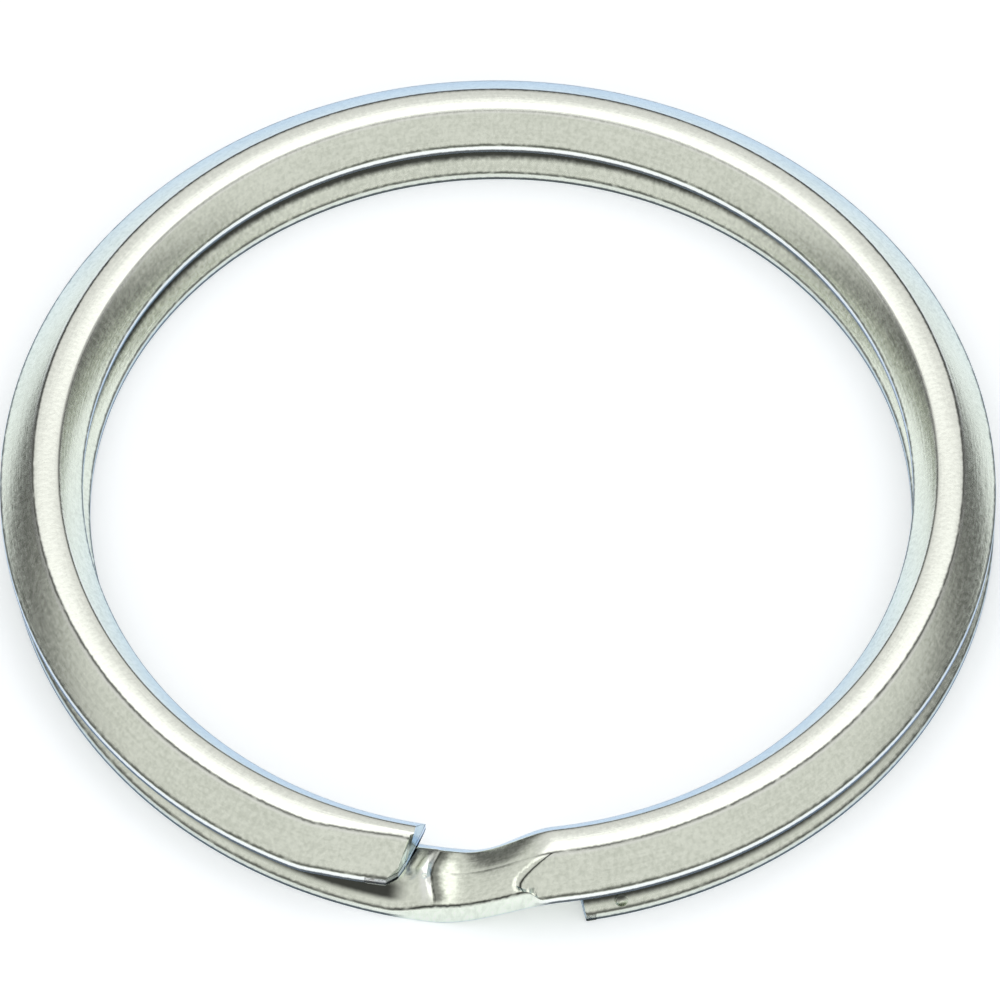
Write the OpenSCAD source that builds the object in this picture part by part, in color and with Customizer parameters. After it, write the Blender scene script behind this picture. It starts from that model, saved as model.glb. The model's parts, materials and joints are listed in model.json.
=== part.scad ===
// Split key ring: one length of flat-bottomed spring wire wound into two turns,
// one lying on the other. A short joggle at the front lifts the wire from the lower
// turn to the upper one, and the two free ends stop just before and just after it.
// The turns are modelled as stretches that meet face to face, because the wire opens
// by flexing a little at many places round the ring.
// +Z is the ring's axis, Z = 0 is the surface that it lies on, and the joggle is at -Y.
// Angles are in degrees about +Z from +X, so 90 is the back and 270 is the front.

/* [Ring] */
// Outer diameter of the upper turn
outer_d = 30; // [24:0.5:40]
// Gap between the upper turn's underside and the lower turn's crown
turn_gap = 0.02; // [0.01:0.01:0.1]
// How much smaller the lower turn's radius is than the upper one's
lower_inset = 0.1; // [0:0.02:0.2]
// How far the lower turn has slipped sideways, towards +X
lower_slip = 0.1; // [0:0.02:0.2]

/* [Wire section] */
// Width of the wire, across the ring's radius
wire_w = 2.5; // [2.2:0.1:3]
// Thickness of the wire at the middle of its crown
wire_t = 1.28; // [1.1:0.02:1.6]
// Height of the plain wall under each bevel
wall_h = 0.33; // [0.2:0.01:0.5]
// Radial width of the bevel on the outer side
outer_bevel_w = 1.0; // [0.7:0.05:1.1]
// Radial width of the bevel on the inner side
inner_bevel_w = 0.75; // [0.5:0.05:0.9]
// How much the crown's middle stands above its edges
crown_rise = 0.03; // [0.01:0.01:0.08]

/* [Joggle] */
// Angle where the lower turn's section starts to change
joggle_start = 257; // [255:0.5:258]
// Angle where the upper turn has its full section
joggle_end = 278.5; // [278:0.5:279]
// Angle where the outer edge begins to climb
climb_start = 262; // [261:0.1:262.8]
// Angle where the climb ends
climb_end = 278; // [276:0.5:278]
// How much later the inner edge begins to climb than the outer edge, in degrees round the ring
climb_lag = 4.4; // [0:0.2:5]
// Height of the plain outer wall on the joggle, where the bevel is pressed flatter
joggle_wall = 0.9; // [0.5:0.02:0.9]

/* [Free ends] */
// Angle of the upper end's inner corner
upper_end = 260.6; // [258:0.2:261]
// Radius of the upper end's rounded outer corner, seen from above
nose_r = 1.1; // [0.6:0.1:1.2]
// How far the upper end's face leans back on its outer side, in degrees round the ring
nose_lean = 1.3; // [0.5:0.1:2]
// Angle of the lower end's face
lower_end = 279.5; // [278.5:0.5:281]
// Radius of the shear mark in the lower end's outer edge
nick_r = 0.16; // [0.1:0.01:0.2]
// Angle from the lower end's face to the shear mark
nick_lead = 5; // [2:0.1:5]

/* [Flexing] */
// Angle round the wire from a free end to the first place where it flexes
first_flex = 90; // [80:1:95]
// Angle between neighbouring places where the wire flexes
flex_step = 45; // [40:1:45]

/* [Hidden] */
full_turn = 360;
outer_r = outer_d / 2;
inner_r = outer_r - wire_w;
upper_z = wire_t + turn_gap;
edge_t = wire_t - crown_rise;
crown_steps = 4;
tip_span = 10;
arc_fn = 180;
joggle_steps = 42;
fade_span = 4;
round_fn = 48;
cut_over = 1;

// The upper turn runs anticlockwise from the joggle to its free end
upper_last = upper_end + full_turn;
upper_flex_1 = upper_last - first_flex - 4 * flex_step;
upper_flex_2 = upper_flex_1 + flex_step;
upper_flex_3 = upper_flex_2 + flex_step;
upper_flex_4 = upper_flex_3 + flex_step;
upper_flex_5 = upper_flex_4 + flex_step;
upper_tip_start = upper_last - tip_span;

// The lower turn runs clockwise from the joggle to its free end
lower_last = lower_end - full_turn;
lower_flex_1 = lower_last + first_flex + 4 * flex_step;
lower_flex_2 = lower_flex_1 - flex_step;
lower_flex_3 = lower_flex_2 - flex_step;
lower_flex_4 = lower_flex_3 - flex_step;
lower_flex_5 = lower_flex_4 - flex_step;
lower_tip_start = lower_last + tip_span;

// Smooth step from 0 to 1 as x runs from 0 to 1
function ease(x) = let (u = min(max(x, 0), 1)) u * u * (3 - 2 * u);

// The wire's section as points [radius, height], with the height of its outer wall
function section_points(outer_wall = wall_h) =
    let (
        crown_out = outer_r - outer_bevel_w,
        crown_in = inner_r + inner_bevel_w
    )
    concat(
        [[inner_r, 0], [outer_r, 0], [outer_r, outer_wall], [crown_out, edge_t]],
        [for (i = [1 : crown_steps - 1])
            let (s = i / crown_steps)
            [crown_out + (crown_in - crown_out) * s, edge_t + 4 * crown_rise * s * (1 - s)]],
        [[crown_in, edge_t], [inner_r, wall_h]]
    );

// A stretch of wire from one angle to another, standing on Z = 0, `inset` smaller in radius
module wire_stretch(from, to, inset = 0) {
    rotate([0, 0, from])
        rotate_extrude(angle = to - from, $fn = arc_fn)
            translate([-inset, 0])
                polygon(section_points());
}

// A stretch of the upper turn
module upper_stretch(from, to) {
    translate([0, 0, upper_z])
        wire_stretch(from, to);
}

// A stretch of the lower turn, which is a little smaller and has slipped sideways
module lower_stretch(from, to) {
    translate([lower_slip, 0, 0])
        wire_stretch(from, to, inset = lower_inset);
}

// How far the joggle has climbed at an angle, 0 on the lower turn and 1 on the upper
function climb(angle, radius) =
    let (start = climb_start + climb_lag * (outer_r - radius) / wire_w)
    ease((angle - start) / (climb_end - start));

// Height of the joggle's outer wall at an angle
function outer_wall_at(angle) =
    let (
        entry = ease((joggle_start + fade_span - angle) / fade_span),
        exit = ease((angle - joggle_end + fade_span) / fade_span)
    )
    joggle_wall + (wall_h - joggle_wall) * (entry + exit);

// One point of the joggle, carried from the lower turn's place to the upper turn's
function joggle_point(angle, point) =
    let (
        c = climb(angle, point[0]),
        radius = point[0] - lower_inset * (1 - c)
    )
    [
        lower_slip * (1 - c) + radius * cos(angle),
        radius * sin(angle),
        point[1] + upper_z * c
    ];

// The joggle's skin, one ring of points for each step round the ring
module joggle_solid() {
    count = len(section_points());
    points = [
        for (k = [0 : joggle_steps])
            let (angle = joggle_start + (joggle_end - joggle_start) * k / joggle_steps)
            for (p = section_points(outer_wall_at(angle)))
                joggle_point(angle, p)
    ];
    sides = [
        for (k = [0 : joggle_steps - 1])
            for (i = [0 : count - 1])
                let (
                    a = k * count + i,
                    b = k * count + (i + 1) % count
                )
                for (tri = [[a, b + count, b], [a, a + count, b + count]])
                    tri
    ];
    first_cap = [for (i = [0 : count - 1]) i];
    last_cap = [for (i = [count - 1 : -1 : 0]) joggle_steps * count + i];
    polyhedron(points = points, faces = concat(sides, [first_cap, last_cap]), convexity = 4);
}

// What is cut from the upper end: all outside its rounded outer corner and its face
module nose_cutter() {
    nose_turn = atan(nose_r / (outer_r - nose_r));
    middle = upper_end - nose_lean - nose_turn;
    lead = inner_r * sin(upper_end - middle);
    drop = outer_r - nose_r - inner_r * cos(upper_end - middle);
    rotate([0, 0, middle])
        translate([outer_r - nose_r, 0, upper_z - cut_over])
            linear_extrude(height = wire_t + 2 * cut_over) {
                difference() {
                    square([2 * nose_r, 2 * nose_r]);
                    circle(r = nose_r, $fn = round_fn);
                }
                polygon([
                    [0, nose_r],
                    [0, 2 * nose_r],
                    [-drop, lead + nose_r],
                    [-drop - cut_over, lead + nose_r],
                    [-drop - cut_over, lead],
                    [-drop, lead]
                ]);
            }
}

module joggle() {
    color("#c6c4bb")
        joggle_solid();
}

module upper_front_right() {
    color("#cfcdc6")
        upper_stretch(joggle_end, upper_flex_1);
}

module upper_right() {
    color("#d6d6d2")
        upper_stretch(upper_flex_1, upper_flex_2);
}

module upper_back_right() {
    color("#dcdedc")
        upper_stretch(upper_flex_2, upper_flex_3);
}

module upper_back_left() {
    color("#d2d9d6")
        upper_stretch(upper_flex_3, upper_flex_4);
}

module upper_left() {
    color("#c3c9c6")
        upper_stretch(upper_flex_4, upper_flex_5);
}

module upper_front_left() {
    color("#cbc9c1")
        upper_stretch(upper_flex_5, upper_tip_start);
}

module upper_end_nose() {
    color("#d8d6cf")
        difference() {
            upper_stretch(upper_tip_start, upper_last);
            nose_cutter();
        }
}

module lower_front_left() {
    color("#a39f96")
        lower_stretch(lower_flex_1, joggle_start);
}

module lower_left() {
    color("#b0aea8")
        lower_stretch(lower_flex_2, lower_flex_1);
}

module lower_back_left() {
    color("#aeb4b3")
        lower_stretch(lower_flex_3, lower_flex_2);
}

module lower_back_right() {
    color("#b6bcbc")
        lower_stretch(lower_flex_4, lower_flex_3);
}

module lower_right() {
    color("#b4b2ad")
        lower_stretch(lower_flex_5, lower_flex_4);
}

module lower_front_right() {
    color("#a8a49b")
        lower_stretch(lower_tip_start, lower_flex_5);
}

module lower_end_tip() {
    nick_at = lower_last + nick_lead;
    color("#bcb9b0")
        difference() {
            lower_stretch(lower_last, lower_tip_start);
            translate([lower_slip, 0, 0])
                rotate([0, 0, nick_at])
                    translate([outer_r - lower_inset, 0, 0])
                        cylinder(r = nick_r, h = 3 * wire_t, center = true, $fn = round_fn);
        }
}

joggle();
upper_front_right();
upper_right();
upper_back_right();
upper_back_left();
upper_left();
upper_front_left();
upper_end_nose();
lower_front_left();
lower_left();
lower_back_left();
lower_back_right();
lower_right();
lower_front_right();
lower_end_tip();
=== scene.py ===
import json
import math

import bpy
from mathutils import Matrix, Vector

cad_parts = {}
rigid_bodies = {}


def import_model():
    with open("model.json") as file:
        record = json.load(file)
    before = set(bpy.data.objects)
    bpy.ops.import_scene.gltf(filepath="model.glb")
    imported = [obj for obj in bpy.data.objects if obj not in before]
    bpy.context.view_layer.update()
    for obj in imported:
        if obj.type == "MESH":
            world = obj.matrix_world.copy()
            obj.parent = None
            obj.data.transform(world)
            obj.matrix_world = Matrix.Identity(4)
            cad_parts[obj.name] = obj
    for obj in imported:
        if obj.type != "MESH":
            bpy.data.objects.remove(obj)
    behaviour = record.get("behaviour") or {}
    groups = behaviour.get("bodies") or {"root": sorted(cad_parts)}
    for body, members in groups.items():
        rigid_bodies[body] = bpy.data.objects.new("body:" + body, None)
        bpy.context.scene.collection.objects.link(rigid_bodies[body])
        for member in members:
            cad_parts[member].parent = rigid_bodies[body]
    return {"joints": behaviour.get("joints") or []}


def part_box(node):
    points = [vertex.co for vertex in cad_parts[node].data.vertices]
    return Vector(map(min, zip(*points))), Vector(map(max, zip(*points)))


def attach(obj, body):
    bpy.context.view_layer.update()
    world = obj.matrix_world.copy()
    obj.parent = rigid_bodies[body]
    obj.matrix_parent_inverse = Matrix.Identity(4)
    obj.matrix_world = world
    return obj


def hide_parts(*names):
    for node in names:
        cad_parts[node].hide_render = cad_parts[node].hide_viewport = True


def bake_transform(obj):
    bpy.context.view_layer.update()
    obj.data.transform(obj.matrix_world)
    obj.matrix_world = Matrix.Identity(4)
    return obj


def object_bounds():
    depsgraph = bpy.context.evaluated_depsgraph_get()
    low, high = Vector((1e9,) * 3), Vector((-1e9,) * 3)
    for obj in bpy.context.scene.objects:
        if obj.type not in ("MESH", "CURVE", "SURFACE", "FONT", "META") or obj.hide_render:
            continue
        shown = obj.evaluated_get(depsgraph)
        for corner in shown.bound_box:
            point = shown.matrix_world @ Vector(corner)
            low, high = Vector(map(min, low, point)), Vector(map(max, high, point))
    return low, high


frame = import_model()
cad_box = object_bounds()

# ---- The lower turn -------------------------------------------------------------------
# The ring is one length of spring steel wire, rolled to a flat back, two bevels and a
# narrow crown. The lower turn is the first coil of it. It runs clockwise from the joggle
# to the lower free end, and each stretch of it lies across one place where it flexes.

MM = 0.001
OUTER_BEVEL_W = 1.0 * MM
INNER_BEVEL_W = 0.71 * MM
WALL_H = 0.33 * MM
CROWN_RISE = 0.03 * MM
EDGE_R = 0.045 * MM
EDGE_ROUNDING_CUTS = 3
CROWN_CUTS = 5
STATION_DEG = 1.25
FLEX_REACH_DEG = 18
END_REACH_DEG = 21
SHARP_DEG = 18
SMOOTH_DEG = 35
NEAR = 0.002 * MM
CUT_NEAR = 1e-9

joints = {joint["name"]: joint for joint in frame["joints"]}
lower_lo_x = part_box("lower_left")[0].x
lower_hi_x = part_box("lower_front_right")[1].x
lower_slip = (lower_hi_x + lower_lo_x) / 2
lower_outer_r = (lower_hi_x - lower_lo_x) / 2
wire_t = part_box("lower_left")[1].z
spread_at = Vector(joints["lower_spread"]["pos_m"])
wire_w = 2 * (lower_outer_r - math.hypot(spread_at.x - lower_slip, spread_at.y))
edge_z = wire_t - CROWN_RISE
grain_r = lower_outer_r - wire_w / 2


class Turn:
    """Where one turn of the wire lies: its outer radius, its slip along X, and its floor."""

    def __init__(self, outer_r, slip, floor):
        self.outer_r = outer_r
        self.slip = slip
        self.floor = floor

    def spoke(self, degrees, radius, height=0.0):
        """The point at an angle round the ring, a radius and a height above the turn's floor."""
        angle = math.radians(degrees)
        return Vector((self.slip + radius * math.cos(angle), radius * math.sin(angle),
                       self.floor + height))

    def centre_line(self, degrees):
        """The point in the middle of the wire at an angle round the ring."""
        return self.spoke(degrees, self.outer_r - wire_w / 2, wire_t / 2)

    def front_angle(self, x, radius):
        """The angle in the ring's front half at which a circle of this radius has this x."""
        return 360 - math.degrees(math.acos((x - self.slip) / radius))

    def polar(self, co, near_deg):
        """The angle and radius of a point, with the angle counted on from a nearby one."""
        degrees = math.degrees(math.atan2(co.y, co.x - self.slip))
        degrees += 360 * round((near_deg - degrees) / 360)
        return degrees, math.hypot(co.x - self.slip, co.y)


def start_afresh():
    """Leaves nothing selected, so that an operator acts only on what is chosen next."""
    if bpy.context.object and bpy.context.object.mode != "OBJECT":
        bpy.ops.object.mode_set(mode="OBJECT")
    bpy.ops.object.select_all(action="DESELECT")


def select_points(piece, wanted):
    """In edit mode, selects the vertices whose place `wanted` accepts, and all between them."""
    bpy.ops.mesh.select_mode(type="VERT")
    bpy.ops.mesh.select_all(action="DESELECT")
    bpy.ops.object.mode_set(mode="OBJECT")
    for vertex in piece.data.vertices:
        vertex.select = wanted(vertex.co)
    bpy.ops.object.mode_set(mode="EDIT")


def wire_section(name, outer_r, bevel_cuts=0):
    """The wire's section as one face in the XZ plane, standing on Z = 0. Stays in edit mode."""
    start_afresh()
    bpy.ops.mesh.primitive_plane_add(size=1, location=(outer_r - wire_w / 2, 0, edge_z / 2),
                                     rotation=(math.pi / 2, 0, 0))
    piece = bpy.context.object
    piece.name = name
    piece.scale = (wire_w, edge_z, 1)
    bpy.ops.object.transform_apply(location=True, rotation=True, scale=True)
    crown_out = outer_r - OUTER_BEVEL_W
    crown_in = outer_r - wire_w + INNER_BEVEL_W
    bevel_h = edge_z - WALL_H
    bpy.ops.object.mode_set(mode="EDIT")
    for edge_x, side, bevel_w in ((crown_out, 1, OUTER_BEVEL_W), (crown_in, -1, INNER_BEVEL_W)):
        bpy.ops.mesh.select_all(action="SELECT")
        bpy.ops.mesh.bisect(plane_co=(edge_x, 0, edge_z), plane_no=(side * bevel_h, 0, bevel_w),
                            clear_outer=True, threshold=CUT_NEAR)
    if bevel_cuts:
        select_points(piece, lambda co: co.x > crown_out - NEAR and co.z > WALL_H - NEAR)
        bpy.ops.mesh.subdivide(number_cuts=bevel_cuts)
    select_points(piece, lambda co: co.x < crown_out + NEAR and co.z > edge_z - NEAR)
    bpy.ops.mesh.subdivide(number_cuts=CROWN_CUTS)
    for cut in range(1, CROWN_CUTS + 1):
        share = cut / (CROWN_CUTS + 1)
        x = crown_out + (crown_in - crown_out) * share
        select_points(piece, lambda co: abs(co.x - x) < NEAR and co.z > edge_z - NEAR)
        bpy.ops.transform.translate(value=(0, 0, 4 * CROWN_RISE * share * (1 - share)))
    return piece


def wind(piece, turn, first_deg, last_deg, station_deg=STATION_DEG):
    """Spins a section round the ring's axis from one angle to another, and puts it in its turn."""
    span = last_deg - first_deg
    bpy.ops.mesh.select_all(action="SELECT")
    bpy.ops.mesh.spin(steps=math.ceil(abs(span) / station_deg), angle=math.radians(abs(span)),
                      center=(0, 0, 0), axis=(0, 0, -1 if span > 0 else 1))
    bpy.ops.mesh.select_all(action="SELECT")
    bpy.ops.mesh.normals_make_consistent(inside=False)
    bpy.ops.object.mode_set(mode="OBJECT")
    piece.location = (turn.slip, 0, turn.floor)
    piece.rotation_euler.z = math.radians(first_deg)
    bpy.ops.object.transform_apply(location=True, rotation=True, scale=True)


def soften_edges(piece, turn, cut_ends):
    """Rounds the wire's edges, but not the rims where it meets the next stretch at `cut_ends`."""
    bpy.ops.object.mode_set(mode="EDIT")
    bpy.ops.mesh.select_mode(type="EDGE")
    bpy.ops.mesh.select_all(action="DESELECT")
    bpy.ops.mesh.edges_select_sharp(sharpness=math.radians(SHARP_DEG))
    bpy.ops.object.mode_set(mode="OBJECT")
    ways = [(-math.sin(math.radians(end)), math.cos(math.radians(end))) for end in cut_ends]
    points = piece.data.vertices
    weights = piece.data.attributes.new("bevel_weight_edge", "FLOAT", "EDGE")
    for edge in piece.data.edges:
        on_rim = any(all(abs((points[v].co.x - turn.slip) * x + points[v].co.y * y) < NEAR
                         for v in edge.vertices) for x, y in ways)
        weights.data[edge.index].value = 1.0 if edge.select and not on_rim else 0.0
    rounding = piece.modifiers.new("rounding", "BEVEL")
    rounding.limit_method = "WEIGHT"
    rounding.width = EDGE_R
    rounding.segments = EDGE_ROUNDING_CUTS
    bpy.ops.object.modifier_apply(modifier=rounding.name)


def settle_shading(piece):
    """Shades a finished piece smooth over its rounded edges, with its flats kept flat."""
    bpy.ops.object.shade_smooth_by_angle(angle=math.radians(SMOOTH_DEG))
    flats = piece.modifiers.new("flats", "WEIGHTED_NORMAL")
    flats.keep_sharp = True
    bpy.ops.object.modifier_apply(modifier=flats.name)


def mark_places(piece, turn, near_deg):
    """Stores each point's place in the wire, in mm: in from its outer wall, along it, and up."""
    places = piece.data.attributes.new("wire_place", "FLOAT_VECTOR", "POINT")
    for vertex in piece.data.vertices:
        degrees, radius = turn.polar(vertex.co, near_deg)
        places.data[vertex.index].vector = ((turn.outer_r - radius) / MM,
                                            math.radians(degrees) * grain_r / MM,
                                            (vertex.co.z - turn.floor) / MM)


class Socket:
    """One output of a shader node. Arithmetic on it adds Math nodes."""

    def __init__(self, nodes, out):
        self.nodes = nodes
        self.out = out

    def math(self, operation, *values):
        return self.nodes.add("ShaderNodeMath", {"operation": operation}, *values)

    def __add__(self, other):
        return self.math("ADD", self, other)

    def __radd__(self, other):
        return self.math("ADD", other, self)

    def __sub__(self, other):
        return self.math("SUBTRACT", self, other)

    def __rsub__(self, other):
        return self.math("SUBTRACT", other, self)

    def __mul__(self, other):
        return self.math("MULTIPLY", self, other)

    def __rmul__(self, other):
        return self.math("MULTIPLY", other, self)

    def above(self, low, high):
        """0 below `low`, 1 above `high`, and a smooth rise between."""
        return self.nodes.add("ShaderNodeMapRange", {"interpolation_type": "SMOOTHSTEP"},
                              self, low, high, 0.0, 1.0)

    def band(self, middle, half_width):
        """1 at `middle`, falling to 0 at `half_width` on each side."""
        return 1 - self.math("ABSOLUTE", self - middle).above(0.0, half_width)


class Nodes:
    """The shader nodes of one material, or of the sky."""

    def __init__(self, tree):
        self.tree = tree

    def feed(self, inlet, value):
        """Links a socket to an inlet, or sets the inlet to a plain value."""
        if isinstance(value, Socket):
            self.tree.links.new(value.out, inlet)
        elif isinstance(value, tuple) and len(value) == 3 and len(inlet.default_value) == 4:
            inlet.default_value = (*value, 1)
        else:
            inlet.default_value = value

    def add(self, kind, settings, *values, out=0, **named):
        """Adds a node, with its settings and then its sockets, and gives one of its outputs."""
        node = self.tree.nodes.new(kind)
        for setting, value in settings.items():
            setattr(node, setting, value)
        for inlet, value in zip(node.inputs, values):
            self.feed(inlet, value)
        for inlet, value in named.items():
            self.feed(node.inputs[inlet], value)
        return Socket(self, node.outputs[out])

    def split(self, vector):
        """The three numbers in a vector."""
        node = self.tree.nodes.new("ShaderNodeSeparateXYZ")
        self.feed(node.inputs[0], vector)
        return [Socket(self, out) for out in node.outputs]

    def stored(self, attribute):
        """The vector that a piece's points store under a name, or zero where they store none."""
        return self.add("ShaderNodeAttribute", {"attribute_name": attribute}, out="Vector")

    def noise(self, place, scale, detail=2.0, across=1.0, along=1.0):
        """Noise in the wire's own place, in cycles a millimetre, stretched along it or across."""
        stretched = self.add("ShaderNodeVectorMath", {"operation": "MULTIPLY"}, place,
                             (across, along, across))
        return self.add("ShaderNodeTexNoise", {}, Vector=stretched, Scale=scale, Detail=detail)

    def blend(self, share, first, second):
        """One colour turning into another as `share` goes from 0 to 1."""
        node = self.tree.nodes.new("ShaderNodeMix")
        node.data_type = "RGBA"
        self.feed(node.inputs["Factor"], share)
        self.feed(node.inputs[6], first)
        self.feed(node.inputs[7], second)
        return Socket(self, node.outputs[2])


FOLD_MARK = 4
GRAIN_SCALE = 7.0
SPECK_SCALE = 8.0
CLOUD_SCALE = 0.4
WORN_SCALE = 2.4
ROLLING_ACROSS = 14.0
ROLLING_ALONG = 0.45
RAGGED_MM = 0.05
CREASE_SIDE = 0.04
OUTER_CREASE_W = 0.065
INNER_CREASE_W = 0.055
WALL_CREASE_W = 0.07
# Where the painted groove shade lies on the lower turn's top, in mm in from its outer wall.
MOUTH_OUT_EDGE = (0.16, 0.32)
MOUTH_OUT_END = (0.5, 0.8)
MOUTH_IN_END = (1.75, 1.95)
MOUTH_IN_EDGE = (2.12, 2.26)
GROOVE_SHADE_AND_STAIN = 0.95
MOST_LINE_DARK = 0.95
BASE_ROUGHNESS = 0.21
RELIEF_STRENGTH = 0.6
RELIEF_DEPTH = 0.008 * MM
BRIGHT_STEEL = (0.87, 0.905, 0.79)
DULL_STEEL = (0.69, 0.725, 0.62)
# White for the painted highlight on the crown.
CROWN_HIGHLIGHT = (0.97, 0.975, 0.93)
# White for the painted highlights on the walls and on the boss.
HIGHLIGHT_WHITE = (0.97, 0.985, 0.95)
# The darkest colour: painted shade in the groove, at the wall feet and beside the fold, the dark
# crease lines, and the stain under the other turn.
SHADE_AND_DIRT_DARK = (0.025, 0.027, 0.022)
# Painted reflection: a blue tint for the steel's grazing reflections, in place of bluish light from
# the sides.
BLUE_REFLECTION_TINT = (0.6, 0.74, 0.98)


def rolled_steel(name, covered=0.0):
    """Tumbled wire: fine grain, rolling lines, walls whitened as a painted highlight, and dark
    lines along its creases. `covered` is how much painted shade lies on its top where the other
    turn rests, most at the groove's mouths, with a light stain between them."""
    material = bpy.data.materials.new(name)
    material.use_nodes = True
    steel = Nodes(material.node_tree)
    shader = steel.tree.nodes["Principled BSDF"]
    place = steel.stored("wire_place")
    inward, _, height = steel.split(place)
    pressed, release, folded = steel.split(steel.stored("wire_press"))
    edge_mm = edge_z / MM
    wall_mm = WALL_H / MM
    crown_out = OUTER_BEVEL_W / MM
    crown_in = (wire_w - INNER_BEVEL_W) / MM

    grain = steel.noise(place, GRAIN_SCALE, detail=3.0)
    speck = steel.noise(place, SPECK_SCALE, detail=1.0).above(0.6, 0.75)
    rolling = steel.noise(place, 1.0, detail=3.0, across=ROLLING_ACROSS, along=ROLLING_ALONG)
    cloud = steel.noise(place, CLOUD_SCALE)
    worn_line = steel.noise(place, WORN_SCALE).above(0.25, 0.5)
    ragged = (steel.noise(place, GRAIN_SCALE) - 0.5) * RAGGED_MM
    on_top = height.above(edge_mm - 0.12, edge_mm - 0.06)
    plain = 1 - pressed
    outer_crease = (inward + ragged).band(crown_out, OUTER_CREASE_W) * on_top * plain
    inner_crease = (inward + ragged).band(crown_in, INNER_CREASE_W) * on_top * plain
    wall_crease = (height + ragged).band(wall_mm + 0.02, WALL_CREASE_W)
    on_slope = height.above(wall_mm + 0.03, wall_mm + 0.2)
    release_crease = (release + ragged).band(0.5, 0.2) * on_slope
    on_bevel = 1 - (inward + ragged).above(crown_out - CREASE_SIDE, crown_out + CREASE_SIDE)
    fold_side = on_slope * (1 - inward.above(crown_in - 0.1, crown_in))
    # Painted shade: a dark line in the fold, and a dark patch on the climb to its right.
    fold_crease = (folded + ragged * 5.0).band(FOLD_MARK, 0.4) * fold_side
    fold_shade = folded.above(FOLD_MARK, FOLD_MARK + 0.2) * fold_side * (
        1 - (folded + cloud + grain).above(FOLD_MARK + 1.6, FOLD_MARK + 3.6))
    # Painted highlight: the squeezed-up boss left of the fold is whitened.
    boss_highlight = folded.above(FOLD_MARK - 2.6, FOLD_MARK - 1.6) * (
        1 - folded.above(FOLD_MARK - 0.3, FOLD_MARK))
    # Dark lines along the crown's edges, the wall top and the dies' release line, with painted
    # shade in the fold.
    line = (outer_crease * 0.85 + inner_crease * 0.4 + wall_crease * (0.85 + pressed * 0.15)
            + release_crease * on_bevel + fold_crease) * (0.55 + worn_line * 0.45)
    wall = (1 - height.above(wall_mm - 0.06, wall_mm)) * height.above(0.01, 0.03)
    # Painted shade: the lower part of each plain wall is darkened, as shade at the gap below it.
    foot_shade = wall * (1 - (height + ragged).above(wall_mm * 0.35, wall_mm * 0.55)) * plain
    # Painted shade at the groove's mouths on the lower turn's top, where the other turn shades it,
    # with a light stain between them.
    mouth_out = (inward + ragged).above(*MOUTH_OUT_EDGE) * (1 - inward.above(*MOUTH_OUT_END))
    mouth_in = inward.above(*MOUTH_IN_END) * (1 - (inward + ragged).above(*MOUTH_IN_EDGE))
    middle = inward.above(*MOUTH_OUT_END) * (1 - inward.above(*MOUTH_IN_END))
    shade_and_stain = mouth_out + mouth_in + middle * (0.18 + cloud.above(0.4, 0.7) * 0.22)
    hidden = shade_and_stain * height.above(wall_mm, wall_mm + 0.08)

    tone = (grain * 0.6 + rolling * 0.22 + cloud * 0.18).above(0.3, 0.64)
    colour = steel.blend(tone, DULL_STEEL, BRIGHT_STEEL)
    colour = steel.blend(speck * 0.35, colour, DULL_STEEL)
    # Painted highlight: the top of the plain wire is whitened, as the crown facing the lamp.
    colour = steel.blend(on_top * plain * 0.45, colour, CROWN_HIGHLIGHT)
    # Painted highlight on the boss beside the fold.
    colour = steel.blend(boss_highlight * on_slope * cloud.above(0.35, 0.6) * 0.8, colour, HIGHLIGHT_WHITE)
    # Painted shade on the climb right of the fold.
    colour = steel.blend(fold_shade * 0.8, colour, SHADE_AND_DIRT_DARK)
    # Painted shade where the other turn lies over this one: it dims the wall below and darkens the
    # groove.
    under = (1 - release) * covered
    # Painted highlight: the walls are whitened, less where the dies pressed them, and dimmed as
    # painted shade where the other turn lies over them.
    colour = steel.blend(wall * (1 - pressed * 0.85) * (1 - under * 0.75), colour, HIGHLIGHT_WHITE)
    # Painted shade at the foot of the walls.
    colour = steel.blend(foot_shade * 0.9, colour, SHADE_AND_DIRT_DARK)
    # Painted shade in the groove between the turns, and the light stain between its mouths.
    colour = steel.blend(hidden * under * plain * (1 - wall), colour, SHADE_AND_DIRT_DARK)
    # The dark lines along the creases.
    colour = steel.blend(line.math("MINIMUM", line, MOST_LINE_DARK), colour, SHADE_AND_DIRT_DARK)
    steel.feed(shader.inputs["Base Color"], colour)
    shader.inputs["Metallic"].default_value = 1.0
    # Painted reflection: the grazing reflections are tinted blue.
    shader.inputs["Specular Tint"].default_value = (*BLUE_REFLECTION_TINT, 1)
    steel.feed(shader.inputs["Roughness"],
               BASE_ROUGHNESS + (grain - 0.5) * 0.14 + (rolling - 0.5) * 0.08 + line * 0.2)
    relief = grain * 0.6 + rolling * 0.4 - line * 0.6
    steel.feed(shader.inputs["Normal"],
               steel.add("ShaderNodeBump", {}, Strength=RELIEF_STRENGTH, Distance=RELIEF_DEPTH,
                         Height=relief))
    return material


def give_finish(piece, material):
    """Gives a piece its steel."""
    piece.data.materials.clear()
    piece.data.materials.append(material)


def flex_chain(first_name, near_deg):
    """The joints of one turn in order from the joggle, with each one's angle round the ring."""
    chain = [joint for joint in frame["joints"] if joint["name"].startswith(first_name)]
    angles = []
    for joint in chain:
        x, y, _ = joint["pos_m"]
        degrees = math.degrees(math.atan2(y, x))
        degrees += 360 * round((near_deg - degrees) / 360)
        angles.append(degrees)
        near_deg = degrees
    return chain, angles


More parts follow.
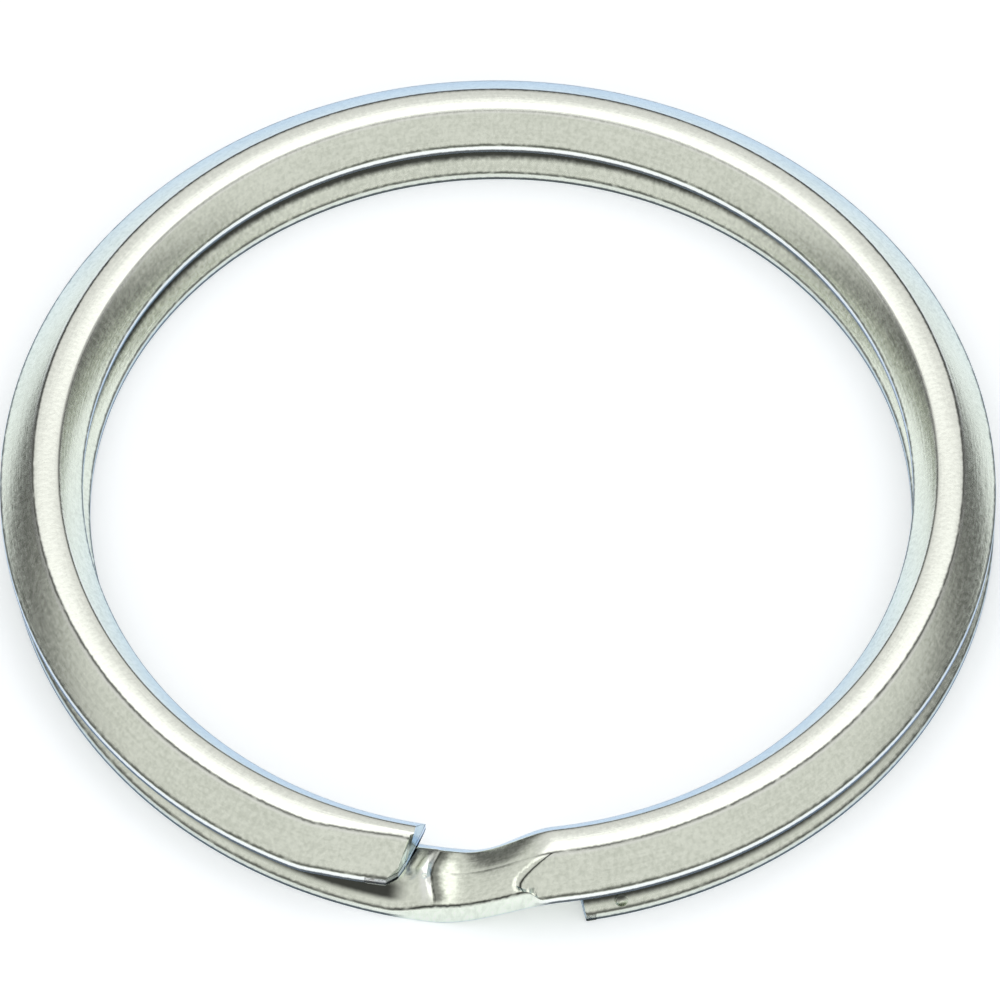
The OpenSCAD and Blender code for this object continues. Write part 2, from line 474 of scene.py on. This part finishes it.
def wind_stretch(name, turn, start, end, finish):
    """One finished stretch of a turn, ready to ride on a body or to lie across a place where it
    flexes.
    """
    piece = wire_section(name, turn.outer_r)
    wind(piece, turn, start, end)
    soften_edges(piece, turn, (start, end))
    settle_shading(piece)
    mark_places(piece, turn, (start + end) / 2)
    give_finish(piece, finish)
    return piece


def wind_turn(turn, chain, angles, first_deg, last_deg, finish, slot):
    """Winds one turn: a stretch on the joggle's body, and one across each place where it flexes."""
    way = 1 if last_deg > first_deg else -1
    ends = [angles[0] - way * END_REACH_DEG]
    ends += [(a + b) / 2 for a, b in zip(angles, angles[1:])]
    ends += [angles[-1] + way * END_REACH_DEG]
    name = slot.split("_")[0] + ("_front_right" if way > 0 else "_front_left")
    piece = wind_stretch(name + "_wire", turn, first_deg, ends[0], finish)
    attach(piece, chain[0]["parent"])
    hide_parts(name)
    for joint, angle, start, end in zip(chain, angles, ends, ends[1:]):
        piece = wind_stretch(joint["child"] + "_wire", turn, start, end, finish)
        turn.centre_line(angle - way * FLEX_REACH_DEG)
        turn.centre_line(angle + way * FLEX_REACH_DEG)
        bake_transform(piece)
        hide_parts(joint["child"])
    return ends[-1]


lower = Turn(lower_outer_r, lower_slip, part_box("lower_left")[0].z)
joggle_first = lower.front_angle(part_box("joggle")[0].x, lower.outer_r)
lower_last = lower.front_angle(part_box("lower_end_tip")[0].x, lower.outer_r - wire_w) - 360
lower_chain, lower_angles = flex_chain("lower", joggle_first)
# The lower turn's steel carries the painted groove shade under the upper turn.
lower_steel = rolled_steel("rolled_steel_lower", covered=GROOVE_SHADE_AND_STAIN)
lower_tail = wind_turn(lower, lower_chain, lower_angles, joggle_first, lower_last, lower_steel,
                       "lower_steel")

# ---- The upper turn -------------------------------------------------------------------
# The second coil lies on the first. It runs anticlockwise from the joggle to the upper free
# end, and it is the one that shows, so it has no painted groove shade, only dark crease lines.

upper_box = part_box("upper_right")
upper = Turn(upper_box[1].x, 0.0, upper_box[0].z)
joggle_last = upper.front_angle(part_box("joggle")[1].x, upper.outer_r)
upper_last = upper.front_angle(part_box("upper_end_nose")[1].x, upper.outer_r - wire_w) + 360
upper_chain, upper_angles = flex_chain("upper", joggle_last)
upper_steel = rolled_steel("rolled_steel_upper")
upper_tail = wind_turn(upper, upper_chain, upper_angles, joggle_last, upper_last, upper_steel,
                       "upper_steel")

# ---- The joggle -----------------------------------------------------------------------
# The wire steps up one thickness from the lower turn to the upper one. It is pressed between
# dies, which raise the outer bevel into a tall wall and a smooth shoulder, squeeze up a small
# boss beside the fold, and let go again along a curved line on the right.

CLIMB_START_DEG = 262
CLIMB_END_DEG = 278
CLIMB_LAG_DEG = 4.4
JOGGLE_WALL = 0.92 * MM
PRESS_SPAN_DEG = 7
CROWN_PRESS_SPAN_DEG = 3
RELEASE_DEG = 272.9
RELEASE_SPAN_DEG = 2.0
RELEASE_TOE_DEG = 1.8
RELEASE_CROWN_DEG = 4.2
RELEASE_SHARE = 0.35
CROWN_RELEASE_LAG_DEG = 1
CROWN_CLEAR_SPAN_DEG = 3
JOGGLE_STATION_DEG = 0.25
BEVEL_CUTS = 9
SHOULDER_BULGE = 0.045 * MM
FOLD_DEG = 262.4
FOLD_WAVE_DEG = 0.4
FOLD_WAVES = 3.2
BOSS_RISE = 0.16 * MM
BOSS_LEFT_DEG = 2.6
BOSS_RIGHT_DEG = 0.7
BOSS_INWARD = 0.95 * MM
BOSS_HALF_W = 0.95 * MM
BOSS_FLAT_SHARE = 0.25
DIMPLE_DEG = 261.2
DIMPLE_INWARD = 0.77 * MM
DIMPLE_R = 0.1 * MM
DIMPLE_H = 1.08 * MM


def ease(x):
    """A smooth step from 0 to 1."""
    x = min(max(x, 0), 1)
    return x * x * (3 - 2 * x)


def climb(degrees, inward):
    """How far the wire has climbed, 0 on the lower turn and 1 on the upper one."""
    start = CLIMB_START_DEG + CLIMB_LAG_DEG * inward / wire_w
    return ease((degrees - start) / (CLIMB_END_DEG - start))


def release(degrees, inward):
    """1 where the dies have let go of the bevel: past a line that curves away at both edges."""
    share = inward / OUTER_BEVEL_W
    toe = max(RELEASE_SHARE - share, 0) / RELEASE_SHARE
    head = max(share - RELEASE_SHARE, 0) / (1 - RELEASE_SHARE)
    line = RELEASE_DEG + RELEASE_TOE_DEG * toe ** 2 + RELEASE_CROWN_DEG * head ** 1.5
    return ease((degrees - line) / RELEASE_SPAN_DEG + 0.5)


def pressed(degrees, inward):
    """How far the dies have raised the bevel, 0 where it is plain and 1 where it is pressed."""
    return ease((degrees - joggle_first) / PRESS_SPAN_DEG) * (1 - release(degrees, inward))


def fold_at(inward):
    """The angle of the wavy line where the wire folds upwards."""
    return FOLD_DEG + FOLD_WAVE_DEG * math.cos(FOLD_WAVES * inward / MM)


def boss(degrees, inward):
    """How far the metal squeezed up beside the fold stands proud, steepest next to the fold."""
    before = fold_at(inward) - degrees
    left = 1 - ease((before - BOSS_RIGHT_DEG) / BOSS_LEFT_DEG)
    across = 1 - ease(abs(inward - BOSS_INWARD) / BOSS_HALF_W - BOSS_FLAT_SHARE)
    return BOSS_RISE * left * ease(before / BOSS_RIGHT_DEG) * across


def push(piece, direction, distances):
    """Moves a piece's points along one axis, each by its own distance, all the same way."""
    most = max(distances, key=abs)
    group = piece.vertex_groups.new(name="push")
    for index, distance in enumerate(distances):
        group.add([index], distance / most, "REPLACE")
    moving = piece.modifiers.new("push", "DISPLACE")
    moving.direction = direction
    moving.mid_level = 0
    moving.strength = most
    moving.vertex_group = group.name
    bpy.ops.object.modifier_apply(modifier=moving.name)
    piece.vertex_groups.clear()


def scoop(piece, middle, radius):
    """Presses a round hollow into a piece with a ball that is then taken away."""
    start_afresh()
    bpy.ops.mesh.primitive_ico_sphere_add(subdivisions=3, radius=radius, location=middle)
    ball = bpy.context.object
    start_afresh()
    piece.select_set(True)
    bpy.context.view_layer.objects.active = piece
    hollow = piece.modifiers.new("hollow", "BOOLEAN")
    hollow.operation = "DIFFERENCE"
    hollow.solver = "EXACT"
    hollow.object = ball
    bpy.ops.object.modifier_apply(modifier=hollow.name)
    bpy.data.meshes.remove(ball.data)


def joggle_raise(z, degrees, inward):
    """How much a point of the plain wire is raised by the dies, and by the climb."""
    raised = 0
    if inward < OUTER_BEVEL_W + EDGE_R:
        share = min(max(inward / OUTER_BEVEL_W, 0), 1)
        shoulder = (JOGGLE_WALL - WALL_H) * (1 - share) + 4 * SHOULDER_BULGE * share * (1 - share)
        raised = shoulder * min(z / WALL_H, 1) * pressed(degrees, inward)
    raised += boss(degrees, inward) * ease((z - WALL_H) / (edge_z - WALL_H))
    return raised + climb(degrees, inward) * (upper.floor - lower.floor)


joggle = wire_section("joggle_wire", lower.outer_r, BEVEL_CUTS)
wind(joggle, lower, joggle_first, joggle_last, JOGGLE_STATION_DEG)
soften_edges(joggle, lower, (joggle_first, joggle_last))
scoop(joggle, lower.spoke(DIMPLE_DEG, lower.outer_r - DIMPLE_INWARD, DIMPLE_H), DIMPLE_R)
mark_places(joggle, lower, joggle_first)
press_marks = joggle.data.attributes.new("wire_press", "FLOAT_VECTOR", "POINT")
raises, slides_x, slides_y = [], [], []
for vertex in joggle.data.vertices:
    at_deg, at_r = lower.polar(vertex.co, joggle_first)
    at_in = lower.outer_r - at_r
    climbed = climb(at_deg, at_in)
    grown = (upper.outer_r - lower.outer_r) * climbed
    raises.append(joggle_raise(vertex.co.z, at_deg, at_in))
    slides_x.append(grown * math.cos(math.radians(at_deg)) - lower.slip * climbed)
    slides_y.append(grown * math.sin(math.radians(at_deg)))
    crown_press = (ease((at_deg - joggle_first) / CROWN_PRESS_SPAN_DEG)
                   * (1 - ease((at_deg - RELEASE_DEG - CROWN_RELEASE_LAG_DEG)
                               / CROWN_PRESS_SPAN_DEG)))
    bevel_press = pressed(at_deg, at_in) if at_in < OUTER_BEVEL_W - EDGE_R else 0
    let_go = (release(at_deg, at_in) if at_in < OUTER_BEVEL_W
              else ease((at_deg - FOLD_DEG) / CROWN_CLEAR_SPAN_DEG))
    folded = min(max((at_deg - fold_at(at_in)) / BOSS_RIGHT_DEG + FOLD_MARK, 0), 2 * FOLD_MARK)
    press_marks.data[vertex.index].vector = (max(crown_press, bevel_press), let_go, folded)
push(joggle, "Z", raises)
push(joggle, "X", slides_x)
push(joggle, "Y", slides_y)
settle_shading(joggle)
joggle_steel = rolled_steel("pressed_steel", covered=GROOVE_SHADE_AND_STAIN)
give_finish(joggle, joggle_steel)
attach(joggle, upper_chain[0]["parent"])
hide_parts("joggle")

# ---- The free ends --------------------------------------------------------------------
# Each end is sheared off the wire. The upper one is rounded and drawn in to a slim nose, so
# that a key slides over it. The lower one keeps a small corner and the scoop of the shear.

NOSE_R = 0.8 * MM
NOSE_LEAN_DEG = 1.6
NOSE_CUTS = 9
SLIM_FROM_DEG = 14.6
SLIM_TO_DEG = 3.6
SLIM_MM_A_DEG = 0.03 * MM
SLIM_SOFT_DEG = 4
SLIM_INWARD = 1.0 * MM
SLIM_FADE = 0.7 * MM
TIP_R = 0.35 * MM
TIP_LEAN_DEG = 0.4
TIP_CUTS = 4
OVERLAP_DEG = 3
SCOOP_LEAD_DEG = 5.0
SCOOP_INWARD = 0.1 * MM
SCOOP_H = 0.65 * MM
SCOOP_R = 0.27 * MM


def slim(piece, turn, last_deg):
    """Draws the outer side of a free end in towards its tip."""
    inwards_x, inwards_y = [], []
    for vertex in piece.data.vertices:
        degrees, radius = turn.polar(vertex.co, last_deg)
        past = min(degrees, last_deg - SLIM_TO_DEG) - (last_deg - SLIM_FROM_DEG)
        drawn = (SLIM_MM_A_DEG * max(past, 0) * ease(past / SLIM_SOFT_DEG)
                 * (1 - ease((turn.outer_r - radius - SLIM_INWARD) / SLIM_FADE)))
        inwards_x.append(-drawn * math.cos(math.radians(degrees)))
        inwards_y.append(-drawn * math.sin(math.radians(degrees)))
    push(piece, "X", inwards_x)
    push(piece, "Y", inwards_y)


def shear(piece, at, outward):
    """Cuts off all that lies past a plane, and closes the cut."""
    bpy.ops.object.mode_set(mode="EDIT")
    bpy.ops.mesh.select_all(action="SELECT")
    bpy.ops.mesh.bisect(plane_co=at, plane_no=outward, use_fill=True, clear_outer=True)
    bpy.ops.object.mode_set(mode="OBJECT")


def round_corner(piece, turn, last_deg, way, corner_r, lean_deg, cuts):
    """Shears a free end across, and rounds its outer corner."""
    corner_deg = last_deg - way * (lean_deg + math.degrees(math.atan(corner_r / turn.outer_r)))
    angle = math.radians(corner_deg)
    forward = Vector((-math.sin(angle), math.cos(angle), 0)) * way
    outward = Vector((math.cos(angle), math.sin(angle), 0))
    middle = turn.spoke(corner_deg, turn.outer_r - corner_r)
    inner_corner = turn.spoke(last_deg, turn.outer_r - wire_w)
    face = (middle + forward * corner_r - inner_corner).normalized()
    across = Vector((face.y, -face.x, 0))
    shear(piece, inner_corner, across if across.dot(forward) > 0 else -across)
    for cut in range(1, cuts + 1):
        turned = math.pi / 2 * cut / (cuts + 1)
        direction = forward * math.cos(turned) + outward * math.sin(turned)
        shear(piece, middle + direction * corner_r, direction)


upper_end = wire_section("upper_end_wire", upper.outer_r)
wind(upper_end, upper, upper_tail, upper_last + OVERLAP_DEG)
round_corner(upper_end, upper, upper_last, 1, NOSE_R, NOSE_LEAN_DEG, NOSE_CUTS)
soften_edges(upper_end, upper, (upper_tail,))
mark_places(upper_end, upper, upper_tail)
slim(upper_end, upper, upper_last)
settle_shading(upper_end)
give_finish(upper_end, upper_steel)
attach(upper_end, upper_chain[-1]["child"])
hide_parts("upper_end_nose")

lower_end = wire_section("lower_end_wire", lower.outer_r)
wind(lower_end, lower, lower_tail, lower_last - OVERLAP_DEG)
round_corner(lower_end, lower, lower_last, -1, TIP_R, TIP_LEAN_DEG, TIP_CUTS)
soften_edges(lower_end, lower, (lower_tail,))
scoop(lower_end,
      lower.spoke(lower_last + SCOOP_LEAD_DEG, lower.outer_r - SCOOP_INWARD, SCOOP_H), SCOOP_R)
mark_places(lower_end, lower, lower_tail)
settle_shading(lower_end)
give_finish(lower_end, lower_steel)
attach(lower_end, lower_chain[-1]["child"])
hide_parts("lower_end_tip")

# ---- The table, the light and the camera ------------------------------------------------
# The ring lies on a plain white table that glows a little. The studio round it is a soft white
# tent with a round lamp above, dimmer in its middle, and a dark gap low down behind, which
# gives the bevels their dark flanks.

TABLE_SIDE = 3.0
TABLE_WHITE = (0.91, 0.93, 0.95, 1)
TABLE_ROUGHNESS = 0.9
TABLE_GLOW_COLOUR = (0.95, 0.98, 1.0, 1)
TABLE_GLOW = 0.31
SKY_DARK = 0.12
SKY_TENT = 0.62
SKY_LAMP = 0.62
GAP_LEAN = 0.35
GAP_EDGE = (0.06, 0.42)
LAMP_EDGE = (0.79, 0.86)
LAMP_MIDDLE = (0.965, 0.99)
LAMP_MIDDLE_DIM = 0.55
VIEW_UP_DEG = 55.45
VIEW_ROLL_DEG = -0.587
VIEW_DISTANCE = 425.2 * MM
LENS_MM = 508.0
VIEW_REACH = 10
AIM_RIGHT = 0.06 * MM
AIM_DOWN = 0.356 * MM

start_afresh()
bpy.ops.mesh.primitive_plane_add(size=TABLE_SIDE, location=(0, 0, cad_box[0].z))
table = bpy.context.object
table.name = "table"
table_paint = bpy.data.materials.new("table_white")
table_paint.use_nodes = True
table_shader = table_paint.node_tree.nodes["Principled BSDF"]
table_shader.inputs["Base Color"].default_value = TABLE_WHITE
table_shader.inputs["Roughness"].default_value = TABLE_ROUGHNESS
table_shader.inputs["Specular IOR Level"].default_value = 0.0
table_shader.inputs["Emission Color"].default_value = TABLE_GLOW_COLOUR
table_shader.inputs["Emission Strength"].default_value = TABLE_GLOW
table.data.materials.append(table_paint)

sky = bpy.data.worlds.new("studio")
bpy.context.scene.world = sky
sky.use_nodes = True
studio = Nodes(sky.node_tree)
_, away, up = studio.split(studio.add("ShaderNodeTexCoord", {}, out="Generated"))
tent = (up - away * GAP_LEAN).above(*GAP_EDGE)
lamp = up.above(*LAMP_EDGE) * (1 - up.above(*LAMP_MIDDLE) * LAMP_MIDDLE_DIM)
studio.feed(sky.node_tree.nodes["Background"].inputs["Color"],
            SKY_DARK + tent * SKY_TENT + lamp * SKY_LAMP)

bpy.ops.object.camera_add()
camera = bpy.context.object
camera.data.lens = LENS_MM
camera.data.clip_end = VIEW_REACH
tilted = Matrix.Rotation(math.radians(90 - VIEW_UP_DEG), 3, "X")
turned = tilted @ Matrix.Rotation(-math.radians(VIEW_ROLL_DEG), 3, "Z")
camera.rotation_euler = turned.to_euler()
camera.location = (Vector((0, 0, upper.floor))
                   + turned @ Vector((AIM_RIGHT, -AIM_DOWN, 0))
                   + tilted @ Vector((0, 0, VIEW_DISTANCE)))
bpy.context.scene.camera = camera
bpy.context.scene.view_settings.view_transform = "Standard"
